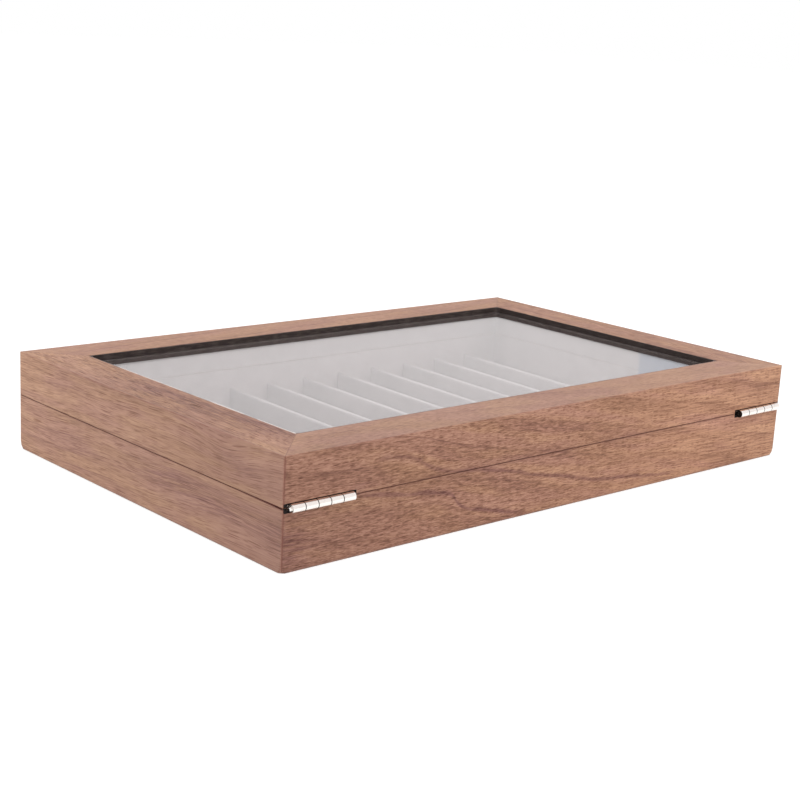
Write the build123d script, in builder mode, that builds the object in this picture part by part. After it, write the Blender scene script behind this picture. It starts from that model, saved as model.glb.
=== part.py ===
from build123d import *
from math import cos, radians, sin
import os

# Pen storage case: a mitred hardwood box whose hinged lid holds a glass pane over lined pen slots.
# The case lies along X with its hinges at +Y, and the origin is the middle of its underside.

# Outside of the case, in millimetres
case_length = 310.0
case_depth = 201.0
base_height = 26.0
lid_height = 20.4
seam_gap = 0.1
wall = 9.5
corner_radius = 1.0
foot_radius = 1.2
foot_corner_spread = 5.0
foot_corner_height = 4.0
foot_corner_steps = 3
corner_clip = 0.02
top_edge_radius = 0.6
seam_edge_chamfer = 0.25

# Bottom panel, let into a rabbet round the walls
panel_thickness = 4.0
rabbet_width = 5.0
panel_gap = 0.1

# Window in the lid: lip, glass and bead lie one under the other in the rail's rabbet
window_border = 23.4
lip_height = 2.85
glass_thickness = 2.0
bead_height = 2.2
window_corner_radius = 2.5
liner_thickness = 0.8
liner_drop = 0.1
glass_seat = 5.0
glass_gap = 0.4
bead_gap = 0.1

# Lining boards, floor pad and the dividers between the pen slots
floor_pad_thickness = 1.5
floor_pad_gap = 0.1
lining_thickness = 1.0
lining_reveal = 0.1
slot_pitch = 23.4
divider_thickness = 2.0
divider_front_height = 10.8
divider_back_height = 7.6
divider_edge_chamfer = 0.6
divider_end_gap = 0.2

# Butt hinges, one near each end of the back
hinge_length = 30.7
hinge_inset = 2.8
knuckle_count = 5
knuckle_gap = 0.3
knuckle_clearance = 0.2
barrel_radius = 1.8
barrel_stand = 1.0
leaf_width = 8.5
leaf_thickness = 0.9
leaf_recess = 0.05
leaf_fit = 0.1
groove_clearance = 0.3
groove_end = 1.8
groove_end_wall = 0.4
runout_depth = 0.35
pin_radius = 0.9
pin_clearance = 0.05
pin_stand = 0.6
pin_inset = 0.4

# Countersunk hinge screws
screw_spacing = 20.0
screw_line = 5.2
screw_length = 8.0
head_radius = 1.7
head_height = 0.8
shank_radius = 0.9
screw_fit = 0.05
pilot_spare = 0.5

# Magnets that hold the lid shut, and the thumb scoop that opens it
magnet_radius = 3.0
magnet_thickness = 3.0
magnet_recess = 0.1
magnet_fit = 0.1
magnet_inset = 28.0
scoop_width = 36.0
scoop_height = 3.0

# Heights and places that follow from the sizes above
lid_bottom = base_height + seam_gap
case_height = lid_bottom + lid_height
lip_bottom = case_height - lip_height
glass_bottom = lip_bottom - glass_thickness
flange_bottom = glass_bottom - bead_height
lip_edge = window_border - liner_thickness
seat_edge = window_border - glass_seat
pad_top = panel_thickness + floor_pad_thickness
clear_length = case_length - 2 * (wall + lining_thickness)
clear_depth = case_depth - 2 * (wall + lining_thickness)
axis_y = case_depth / 2 + barrel_stand
axis_z = base_height + seam_gap / 2
seat_depth = leaf_thickness + leaf_recess
knuckle_pitch = hinge_length / knuckle_count
bore_radius = pin_radius + pin_clearance
hinge_middle = case_length / 2 - hinge_inset - hinge_length / 2
screw_y = axis_y - screw_line
magnet_y = wall / 2 - case_depth / 2

SIDES = ("front", "right", "back", "left")
HINGES = {"left": -hinge_middle, "right": hinge_middle}

os.makedirs("parts", exist_ok=True)


def save(piece, name):
    """Label a finished piece and write it to its own file."""
    piece.part.label = name
    export_step(piece.part, f"parts/{name}.step")


def side_directions(side):
    """The inward and lengthwise directions of one side of the case, with its outer middle and length."""
    turn = 90 * SIDES.index(side)
    inward = Vector(0, 1, 0).rotate(Axis.Z, turn)
    along = Vector(1, 0, 0).rotate(Axis.Z, turn)
    if side in ("front", "back"):
        return inward, along, inward * (-case_depth / 2), case_length
    return inward, along, inward * (-case_length / 2), case_depth


def section_plane(side):
    """Plane across one side of the case: x runs inwards from the outer face and y runs up."""
    inward, along, middle, _ = side_directions(side)
    return Plane(origin=middle, x_dir=inward, z_dir=along)


def run_to_mitres(side):
    """Extrude the pending section along its side and cut both ends at 45 degrees through the corners."""
    inward, along, middle, length = side_directions(side)
    extrude(amount=length / 2, both=True)
    for end in (1, -1):
        corner = middle + along * (end * length / 2)
        split(bisect_by=Plane(origin=corner, z_dir=-inward - along * end), keep=Keep.TOP)


def mitred_strip(side, near, far, low, high, corner=0.0):
    """A strip on one side, from near to far inwards and from low to high, mitred at its ends.

    Where a corner radius is given, the frame that the four strips form has inner corners of that radius.
    """
    with BuildPart() as strip:
        with BuildSketch(section_plane(side)):
            with Locations(((near + far + corner) / 2, (low + high) / 2)):
                Rectangle(far - near + corner, high - low)
        run_to_mitres(side)
        if corner:
            with BuildSketch(Plane.XY.offset(low)) as opening:
                RectangleRounded(case_length - 2 * far, case_depth - 2 * far, corner)
            extrude(opening.sketch, amount=high - low, mode=Mode.SUBTRACT)
    return strip


# Outline that cuts the case's small upright corners, which are rubbed rounder towards the foot by the law of
# a quarter circle. Its sides stay just clear of the case's faces, so that only the corners are cut
outline_length = case_length + 2 * corner_clip
outline_depth = case_depth + 2 * corner_clip
with BuildPart() as case_outline:
    for step in range(foot_corner_steps + 1):
        angle = radians(90 * step / foot_corner_steps)
        with BuildSketch(Plane.XY.offset(foot_corner_height * (1 - cos(angle)))):
            RectangleRounded(
                outline_length, outline_depth, corner_radius + foot_corner_spread * (1 - sin(angle))
            )
    loft(ruled=True)
    with BuildSketch(Plane.XY.offset(foot_corner_height)):
        RectangleRounded(outline_length, outline_depth, corner_radius)
    extrude(amount=case_height - foot_corner_height)


# Room for the hinges in both seam faces: barrel groove, leaf mortise and pilot holes
with BuildPart() as hinge_seats:
    for end in (-1, 1):
        hinge_end = hinge_middle + hinge_length / 2
        groove_start = hinge_end - hinge_length - groove_end
        with BuildSketch(Plane(origin=(end * groove_start, axis_y, axis_z), z_dir=(end, 0, 0))):
            Circle(barrel_radius + groove_clearance)
        extrude(amount=case_length / 2 - groove_end_wall - groove_start)
        # The mortise runs out through the end of the case as a thin wedge
        with BuildSketch(Plane(origin=(end * hinge_end, 0, axis_z), x_dir=(0, 1, 0), z_dir=(1, 0, 0))):
            with BuildLine():
                Polyline(
                    (case_depth / 2 - leaf_width, 0),
                    (case_depth / 2, seam_gap / 2 + runout_depth),
                    (case_depth / 2, -seam_gap / 2 - runout_depth),
                    close=True,
                )
            make_face()
        extrude(amount=end * (case_length / 2 + groove_end_wall - hinge_end))
        with Locations((end * hinge_middle, axis_y - (leaf_width + leaf_fit) / 2, axis_z)):
            Box(hinge_length + 2 * leaf_fit, leaf_width + leaf_fit, seam_gap + 2 * seat_depth)
        with Locations((end * hinge_middle, screw_y, axis_z)):
            with GridLocations(screw_spacing, 0, 2, 1):
                Cylinder(shank_radius + screw_fit, seam_gap + 2 * (screw_length + leaf_recess + pilot_spare))


# Base walls, rabbeted below for the bottom panel
def base_wall(side):
    with BuildPart() as piece:
        with BuildSketch(section_plane(side)) as section:
            with BuildLine():
                Polyline(
                    (0, 0),
                    (wall - rabbet_width, 0),
                    (wall - rabbet_width, panel_thickness),
                    (wall, panel_thickness),
                    (wall, base_height),
                    (0, base_height),
                    close=True,
                )
            make_face()
            outer_corners = section.vertices().group_by(Axis.X)[0].sort_by(Axis.Y)
            fillet(outer_corners[0], foot_radius)
            chamfer(outer_corners[-1], seam_edge_chamfer)
        run_to_mitres(side)
        add(case_outline.part, mode=Mode.INTERSECT)
        add(hinge_seats.part, mode=Mode.SUBTRACT)
        if side == "front":
            with Locations((0, magnet_y, base_height)):
                with GridLocations(case_length - 2 * magnet_inset, 0, 2, 1):
                    Hole(magnet_radius + magnet_fit, magnet_thickness + magnet_recess)
    return piece


for side in SIDES:
    save(base_wall(side), f"base_{side}_wall")


# Bottom panel and the padded floor on it
with BuildPart() as bottom_panel:
    panel_inset = wall - rabbet_width + panel_gap
    with BuildSketch():
        Rectangle(case_length - 2 * panel_inset, case_depth - 2 * panel_inset)
    extrude(amount=panel_thickness)
save(bottom_panel, "bottom_panel")

with BuildPart() as floor_pad:
    pad_inset = wall + floor_pad_gap
    with BuildSketch(Plane.XY.offset(panel_thickness)):
        Rectangle(case_length - 2 * pad_inset, case_depth - 2 * pad_inset)
    extrude(amount=floor_pad_thickness)
save(floor_pad, "floor_pad")


# Lining boards of the base stand on the floor pad and stop just under the seam
for side in SIDES:
    lining = mitred_strip(side, wall, wall + lining_thickness, pad_top, base_height - lining_reveal)
    save(lining, f"base_{side}_lining")


# Dividers stand on the floor pad at an even pitch from the left lining, so that the last slot takes what
# is left, and their eased tops fall a little from the front to the hinges
slot_count = int(clear_length // slot_pitch)
divider_reach = clear_depth / 2 - divider_end_gap
for number in range(1, slot_count):
    with BuildPart() as divider:
        divider_x = number * slot_pitch - clear_length / 2
        with BuildSketch(Plane.YZ.offset(divider_x)):
            with BuildLine():
                Polyline(
                    (-divider_reach, pad_top),
                    (divider_reach, pad_top),
                    (divider_reach, pad_top + divider_back_height),
                    (-divider_reach, pad_top + divider_front_height),
                    close=True,
                )
            make_face()
        extrude(amount=divider_thickness / 2, both=True)
        chamfer(divider.faces().sort_by(Axis.Z)[-1].edges().sort_by(SortBy.LENGTH)[-2:], divider_edge_chamfer)
    save(divider, f"divider_{number:02d}")


# Lid rails: an upright wall with a wide flange on top, rabbeted from below for the glass
def lid_rail(side):
    with BuildPart() as piece:
        with BuildSketch(section_plane(side)) as section:
            with BuildLine():
                Polyline(
                    (0, lid_bottom),
                    (wall, lid_bottom),
                    (wall, flange_bottom),
                    (seat_edge, flange_bottom),
                    (seat_edge, lip_bottom),
                    (lip_edge, lip_bottom),
                    (lip_edge, case_height),
                    (0, case_height),
                    close=True,
                )
            make_face()
            outer_corners = section.vertices().group_by(Axis.X)[0].sort_by(Axis.Y)
            chamfer(outer_corners[0], seam_edge_chamfer)
            fillet(outer_corners[-1], top_edge_radius)
        run_to_mitres(side)
        add(case_outline.part, mode=Mode.INTERSECT)
        add(hinge_seats.part, mode=Mode.SUBTRACT)
        if side == "front":
            with Locations(Plane(origin=(0, magnet_y, lid_bottom), x_dir=(1, 0, 0), z_dir=(0, 0, -1))):
                with GridLocations(case_length - 2 * magnet_inset, 0, 2, 1):
                    Hole(magnet_radius + magnet_fit, magnet_thickness + magnet_recess)
            # The scoop is a ball's cap, as deep into the rail as it is high
            scoop_reach = ((scoop_width / 2) ** 2 - scoop_height**2) / (2 * scoop_height)
            scoop_radius = ((scoop_width / 2) ** 2 + 2 * scoop_reach**2) ** 0.5
            with Locations((0, -case_depth / 2 - scoop_reach, lid_bottom - scoop_reach)):
                Sphere(scoop_radius, mode=Mode.SUBTRACT)
    return piece


for side in SIDES:
    save(lid_rail(side), f"lid_{side}_rail")


# Black liner round the window's edge, glass under it, and the bead that holds the glass
for side in SIDES:
    liner = mitred_strip(
        side, lip_edge, window_border, lip_bottom, case_height - liner_drop, window_corner_radius
    )
    save(liner, f"window_{side}_liner")
    bead = mitred_strip(
        side, seat_edge + bead_gap, window_border, flange_bottom, glass_bottom, window_corner_radius
    )
    save(bead, f"glazing_{side}_bead")

with BuildPart() as glass_pane:
    glass_inset = seat_edge + glass_gap
    with BuildSketch(Plane.XY.offset(glass_bottom)):
        Rectangle(case_length - 2 * glass_inset, case_depth - 2 * glass_inset)
    extrude(amount=glass_thickness)
save(glass_pane, "glass_pane")

for side in SIDES:
    lining = mitred_strip(side, wall, wall + lining_thickness, lid_bottom + lining_reveal, flange_bottom)
    save(lining, f"lid_{side}_lining")


# Hinge leaves: a flat plate let into the wood and its share of the knuckles round the pin
def hinge_leaf(middle, facing, knuckles):
    """One leaf at middle along X: facing is 1 in the lid and -1 in the base."""

    def knuckle_start(number):
        return middle - hinge_length / 2 + number * knuckle_pitch

    plate_face = axis_z + facing * (seam_gap / 2 + leaf_recess)
    with BuildPart() as leaf:
        for number in knuckles:
            with BuildSketch(Plane.YZ.offset(knuckle_start(number) + knuckle_gap / 2)):
                with Locations((axis_y, axis_z)):
                    Circle(barrel_radius)
            extrude(amount=knuckle_pitch - knuckle_gap)
        # The plate ends inside the knuckles' wall
        plate_root = (barrel_radius + bore_radius) / 2
        with Locations((middle, axis_y - (leaf_width + plate_root) / 2, plate_face + facing * leaf_thickness / 2)):
            Box(hinge_length - knuckle_gap, leaf_width - plate_root, leaf_thickness)
        # Room for the other leaf's knuckles
        room = 2 * (barrel_radius + knuckle_clearance)
        for number in set(range(knuckle_count)) - set(knuckles):
            with Locations((knuckle_start(number) + knuckle_pitch / 2, axis_y, axis_z)):
                Box(knuckle_pitch + knuckle_gap, room, room, mode=Mode.SUBTRACT)
        with BuildSketch(Plane.YZ.offset(middle - hinge_length / 2)):
            with Locations((axis_y, axis_z)):
                Circle(bore_radius)
        extrude(amount=hinge_length, mode=Mode.SUBTRACT)
        with Locations(Plane(origin=(middle, screw_y, plate_face), x_dir=(1, 0, 0), z_dir=(0, 0, -facing))):
            with GridLocations(screw_spacing, 0, 2, 1):
                CounterSinkHole(
                    shank_radius + screw_fit,
                    head_radius + screw_fit,
                    depth=leaf_thickness,
                    counter_sink_angle=90,
                )
    return leaf


def hinge_screws(middle, facing):
    """The two countersunk screws of one leaf, flush with its face."""
    head_face = axis_z + facing * (seam_gap / 2 + leaf_recess)
    with BuildPart() as screws:
        for offset in (-screw_spacing / 2, screw_spacing / 2):
            place = Vector(middle + offset, screw_y, head_face)
            with BuildSketch(Plane(origin=place, x_dir=(1, 0, 0), z_dir=(0, facing, 0))):
                with BuildLine():
                    Polyline(
                        (0, 0),
                        (head_radius, 0),
                        (shank_radius, -head_height),
                        (shank_radius, -screw_length),
                        (0, -screw_length),
                        close=True,
                    )
                make_face()
            revolve(axis=Axis(place, (0, 0, 1)))
    return screws


base_knuckles = range(0, knuckle_count, 2)
lid_knuckles = range(1, knuckle_count, 2)
for hand, middle in HINGES.items():
    outward = 1 if middle > 0 else -1
    save(hinge_leaf(middle, -1, base_knuckles), f"{hand}_hinge_base_leaf")
    save(hinge_leaf(middle, 1, lid_knuckles), f"{hand}_hinge_lid_leaf")
    save(hinge_screws(middle, -1), f"{hand}_hinge_base_screws")
    save(hinge_screws(middle, 1), f"{hand}_hinge_lid_screws")
    # The pin stands out at the case's end and stops inside the barrel at the other
    with BuildPart() as hinge_pin:
        with BuildSketch(Plane.YZ.offset(middle - outward * (hinge_length / 2 - pin_inset))):
            with Locations((axis_y, axis_z)):
                Circle(pin_radius)
        extrude(amount=outward * (hinge_length - pin_inset + pin_stand))
    save(hinge_pin, f"{hand}_hinge_pin")


# Magnet discs lie at the bottom of their pockets, just under both seam faces
def magnets(face, facing):
    with BuildPart() as discs:
        with BuildSketch(Plane.XY.offset(face + facing * magnet_recess)):
            with Locations((0, magnet_y)):
                with GridLocations(case_length - 2 * magnet_inset, 0, 2, 1):
                    Circle(magnet_radius)
        extrude(amount=facing * magnet_thickness)
    return discs


save(magnets(base_height, -1), "base_magnets")
save(magnets(lid_bottom, 1), "lid_magnets")
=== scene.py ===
"""Looks of the pen storage case: a mitred walnut box with a glazed lid, suede-covered boards and two hinges.

Lengths are in metres unless a name or comment says otherwise, in the model's own frame: X runs along the
case, the hinges are at +Y and the origin is the middle of the underside. Sizes and places of the pieces are
read from the frame.
"""

from __future__ import annotations

import functools
import logging
import math
import operator
from collections.abc import Sequence
from dataclasses import dataclass
from enum import Enum
from types import SimpleNamespace

import bmesh
import bpy
import numpy as np
from mathutils import Matrix, Vector

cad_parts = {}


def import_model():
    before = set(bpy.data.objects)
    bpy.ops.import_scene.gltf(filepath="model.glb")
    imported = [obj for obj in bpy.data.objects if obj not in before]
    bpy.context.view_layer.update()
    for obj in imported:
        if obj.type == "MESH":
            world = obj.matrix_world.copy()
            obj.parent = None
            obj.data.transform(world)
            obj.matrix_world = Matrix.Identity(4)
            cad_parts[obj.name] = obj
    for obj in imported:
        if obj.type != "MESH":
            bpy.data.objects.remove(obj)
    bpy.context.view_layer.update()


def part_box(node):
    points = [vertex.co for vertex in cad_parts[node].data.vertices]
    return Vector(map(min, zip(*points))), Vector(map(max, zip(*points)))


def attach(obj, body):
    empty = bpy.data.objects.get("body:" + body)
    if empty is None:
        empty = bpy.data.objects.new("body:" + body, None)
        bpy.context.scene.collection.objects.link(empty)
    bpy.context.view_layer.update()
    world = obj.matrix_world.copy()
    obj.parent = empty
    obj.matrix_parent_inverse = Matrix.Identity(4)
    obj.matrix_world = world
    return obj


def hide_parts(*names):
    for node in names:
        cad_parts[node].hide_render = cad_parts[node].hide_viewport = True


MM = 0.001
# Name of the attribute that holds the painted highlight on the dividers' top round
TOP_HIGHLIGHT = "rubbed"
# Name of the attribute that holds the lightening painted on the dividers' faces near the front end
FRONT_LIGHTENING = "faded"
ALONG_X = Vector((1.0, 0.0, 0.0))
UPWARD = Vector((0.0, 0.0, 1.0))
WHITE = (1.0, 1.0, 1.0)
LOG = logging.getLogger("pen_case")
Colour = tuple[float, float, float]

# Distance and strength of the bump that wood grain gives
GRAIN_RELIEF = (0.05 * MM, 0.5)


class Body(Enum):
    """The two bodies that the hinge joins."""

    BASE = "base"
    LID = "lid"


class Side(Enum):
    """The sides of the case, in quarter turns from the front."""

    FRONT = 0
    RIGHT = 1
    BACK = 2
    LEFT = 3

    @property
    def label(self) -> str:
        """The side's word in the node names."""
        return self.name.lower()

    @property
    def turn(self) -> float:
        """Angle round Z from the front to this side."""
        return self.value * math.pi / 2

    @property
    def along_x(self) -> bool:
        """True where the side's boards run along X."""
        return self in (Side.FRONT, Side.BACK)

    @property
    def inward(self) -> Vector:
        """Direction from the outer face of this side into the case."""
        return Vector((-math.sin(self.turn), math.cos(self.turn), 0.0))

    @property
    def along(self) -> Vector:
        """Direction along this side's boards."""
        return Vector((math.cos(self.turn), math.sin(self.turn), 0.0))


class Hand(Enum):
    """The two hinges, by their end of the case."""

    LEFT = "left"
    RIGHT = "right"


class Slot(Enum):
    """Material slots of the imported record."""

    SUEDE = "suede"
    HINGE = "hinge_nickel"
    SCREW = "screw_nickel"
    MAGNET = "magnet"


# Meshes


@dataclass(frozen=True)
class Section:
    """A convex outline with rounded corners, kept as arc centres, radii and outward directions."""

    centres: np.ndarray
    radii: np.ndarray
    directions: np.ndarray

    def rings(self, insets: np.ndarray) -> tuple[np.ndarray, np.ndarray]:
        """The outline drawn in by insets: each point is its arc's centre plus what is left of the radius.

        Args:
            insets: how far each ring is drawn in.

        Returns:
            The points' places across and upwards, as rings by points.
        """
        left = np.maximum(self.radii - insets[:, None], 0.0)
        points = self.centres + left[..., None] * self.directions
        return points[..., 0], points[..., 1]


def rounded_section(
    width: float, height: float, low: float, high: float, steps: int = 5, flats: int = 6
) -> Section:
    """A rectangle round the origin with its lower and upper corners rounded.

    Each corner is a quarter circle in equal angles, and each straight side gets a few evenly spread points.

    Args:
        width: size across.
        height: size upwards.
        low: radius of the lower corners.
        high: radius of the upper corners.
        steps: parts of each quarter circle.
        flats: parts of each straight side.

    Returns:
        The section, counterclockwise from its right side.
    """
    corners = ((1, 1, high), (-1, 1, high), (-1, -1, low), (1, -1, low))
    middles = [np.array((right * (width / 2 - r), up * (height / 2 - r))) for right, up, r in corners]
    share = np.linspace(0.0, 1.0, flats + 1)[1:-1, None]
    centres, radii, angles = [], [], []
    for number, (_, _, radius) in enumerate(corners):
        following = (number + 1) % 4
        arc = number * math.pi / 2 + np.linspace(0.0, math.pi / 2, steps + 1)
        run = middles[number] + share * (middles[following] - middles[number])
        centres += [np.tile(middles[number], (len(arc), 1)), run]
        radii += [np.full(len(arc), radius), radius + share[:, 0] * (corners[following][2] - radius)]
        angles += [arc, np.full(flats - 1, arc[-1])]
    turn = np.concatenate(angles)
    return Section(np.concatenate(centres), np.concatenate(radii), np.stack([np.cos(turn), np.sin(turn)], 1))


def turned_rings(profile: np.ndarray, start: Vector, axis: Vector, columns: int) -> np.ndarray:
    """Rings of a turned piece: radius r at distance d is at the start plus d along the axis and r around it.

    Args:
        profile: rows of radius and distance.
        start: where the distance is 0.
        axis: direction of the axis.
        columns: points round each ring.

    Returns:
        The rings, as rows by columns by 3.
    """
    forward = axis.normalized()
    across = forward.orthogonal().normalized()
    third = forward.cross(across)
    turn = np.linspace(0.0, 2 * math.pi, columns, endpoint=False)
    around = np.cos(turn)[:, None] * np.array(across) + np.sin(turn)[:, None] * np.array(third)
    lifted = np.array(start) + profile[:, 1, None] * np.array(forward)
    return lifted[:, None, :] + profile[:, 0, None, None] * around


def rounded_ends(length: float, radius: float, steps: int, middles: int) -> tuple[np.ndarray, np.ndarray]:
    """Stations along a piece whose two ends are rounded over.

    At an end the inset is the radius times one less the sine of an angle, and the setback from the end is
    the radius times one less its cosine, so both follow a quarter circle.

    Args:
        length: length of the piece.
        radius: radius of the rounding.
        steps: parts of each quarter circle.
        middles: parts of the straight run.

    Returns:
        The places along the piece from its middle, and the insets there.
    """
    angle = np.linspace(0.0, math.pi / 2, steps + 1)
    setback, inset = radius * (1 - np.cos(angle)), radius * (1 - np.sin(angle))
    run = np.linspace(-1.0, 1.0, middles + 1)[1:-1] * (length / 2 - radius)
    places = np.concatenate([setback - length / 2, run, (length / 2 - setback)[::-1]])
    return places, np.concatenate([inset, np.zeros(len(run)), inset[::-1]])


def closed_mesh(name: str, shells: Sequence[np.ndarray], crease: float = 40.0) -> bpy.types.Mesh:
    """A mesh of closed shells, each a stack of rings joined by quads and shut by a fan at both ends.

    Args:
        name: name of the mesh.
        shells: ring stacks, each as rows by columns by 3.
        crease: edges sharper than this many degrees stay sharp.

    Returns:
        The mesh, smooth and with its faces outward.
    """
    points: list[np.ndarray] = []
    faces: list[list[int]] = []
    first = 0
    for rings in shells:
        rows, columns, _ = rings.shape
        ends = np.stack([rings[0].mean(0), rings[-1].mean(0)])
        cloud = np.concatenate([rings.reshape(-1, 3), ends])
        index = np.arange(rows * columns).reshape(rows, columns)
        onward = np.roll(index, -1, axis=1)
        quads = np.stack([index[:-1], onward[:-1], onward[1:], index[1:]], -1).reshape(-1, 4)
        pole = np.full(columns, rows * columns)
        fans = np.concatenate(
            [np.stack([pole, onward[0], index[0]], 1), np.stack([pole + 1, index[-1], onward[-1]], 1)]
        )
        corners = np.concatenate([cloud[quads[:, :3]], cloud[quads[:, [0, 2, 3]]], cloud[fans]])
        volume = np.einsum("ij,ij->i", corners[:, 0], np.cross(corners[:, 1], corners[:, 2])).sum()
        step = 1 if volume > 0 else -1
        faces += (quads[:, ::step] + first).tolist() + (fans[:, ::step] + first).tolist()
        points.append(cloud)
        first += len(cloud)
    mesh = bpy.data.meshes.new(name)
    mesh.from_pydata(np.concatenate(points).tolist(), [], faces)
    mesh.shade_smooth()
    mesh.set_sharp_from_angle(angle=math.radians(crease))
    mesh.validate()
    return mesh


def merged_copy(node: str, name: str) -> bpy.types.Mesh:
    """A copy of a CAD node's mesh with its loose triangles joined.

    Args:
        node: the CAD node.
        name: name of the new mesh.

    Returns:
        The mesh.
    """
    mesh = bpy.data.objects[node].data.copy()
    mesh.name = name
    joined = bmesh.new()
    joined.from_mesh(mesh)
    bmesh.ops.remove_doubles(joined, verts=joined.verts, dist=0.002 * MM)
    bmesh.ops.dissolve_limit(joined, angle_limit=math.radians(0.5), verts=joined.verts, edges=joined.edges)
    joined.to_mesh(mesh)
    joined.free()
    return mesh


def extent(node: str) -> tuple[Vector, Vector]:
    """The size and the middle of a CAD node's box."""
    low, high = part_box(node)
    return high - low, (low + high) / 2


def add_object(name: str, data: bpy.types.ID) -> bpy.types.Object:
    """Put a mesh, lamp or camera into the scene.

    Args:
        name: name of the object.
        data: what it shows.

    Returns:
        The new object.
    """
    made = bpy.data.objects.new(name, data)
    bpy.context.scene.collection.objects.link(made)
    return made


def add_piece(
    mesh: bpy.types.Mesh, body: Body, slot: Slot, material: bpy.types.Material, *nodes: str
) -> bpy.types.Object:
    """Put a mesh into the scene as a piece that stands for CAD nodes.

    Args:
        mesh: the piece's mesh, whose name the piece takes.
        body: the body that it rides on.
        slot: not used.
        material: its material.
        nodes: the CAD nodes that it replaces.

    Returns:
        The new object.
    """
    mesh.materials.clear()
    mesh.materials.append(material)
    piece = add_object(mesh.name, mesh)
    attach(piece, body.value)
    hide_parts(*nodes)
    LOG.info("%s: %d faces, stands for %s", piece.name, len(mesh.polygons), ", ".join(nodes))
    return piece


def dress(node: str, material: bpy.types.Material) -> None:
    """Give a CAD node that is shown as it is its material.

    Args:
        node: the CAD node.
        material: the material for all its faces.
    """
    shown = bpy.data.objects[node]
    shown.data.materials.clear()
    shown.data.materials.append(material)
    LOG.info("%s: CAD node in %s", node, material.name)


# Shader trees


@dataclass(frozen=True)
class Signal:
    """What a socket of a shader tree gives, with the usual signs for sums."""

    graph: Graph
    socket: bpy.types.NodeSocket

    def __add__(self, other: object) -> Signal:
        """This plus the other."""
        return self.graph.math("ADD", self, other)

    def __sub__(self, other: object) -> Signal:
        """This less the other."""
        return self.graph.math("SUBTRACT", self, other)

    def __mul__(self, other: object) -> Signal:
        """This times the other."""
        return self.graph.math("MULTIPLY", self, other)

    def __truediv__(self, other: object) -> Signal:
        """This divided by the other."""
        return self.graph.math("DIVIDE", self, other)

    def __rtruediv__(self, other: object) -> Signal:
        """The other divided by this."""
        return self.graph.math("DIVIDE", other, self)

    def __abs__(self) -> Signal:
        """This without its sign."""
        return self.graph.math("ABSOLUTE", self)

    def smooth(self, low: float, high: float, start: object = 0.0, end: object = 1.0) -> Signal:
        """A smooth step of this from start at low to end at high."""
        inputs = {0: self, 1: low, 2: high, 3: start, 4: end}
        return self.graph.add("MapRange", inputs, interpolation_type="SMOOTHSTEP")

    def parts(self) -> list[Signal]:
        """The three parts of this vector."""
        return list(self.graph.outputs("SeparateXYZ", {0: self}).values())

    def stretched(self, along: float, inward: float, up: float) -> Signal:
        """This vector divided by three lengths, so that a pattern of size 1 gets those lengths."""
        return self.graph.add("Mapping", {"Vector": self, "Scale": (1 / along, 1 / inward, 1 / up)})

    def shifted(self, offset: object) -> Signal:
        """This vector plus another."""
        return self.graph.add("VectorMath", {0: self, 1: offset}, operation="ADD")

    def over(self, sizes: Signal) -> Signal:
        """This vector divided by another, part by part."""
        return self.graph.add("VectorMath", {0: self, 1: sizes}, operation="DIVIDE")

    def scaled(self, factor: object) -> Signal:
        """This vector or colour times a number."""
        return self.graph.add("VectorMath", {0: self, 3: factor}, operation="SCALE")


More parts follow.
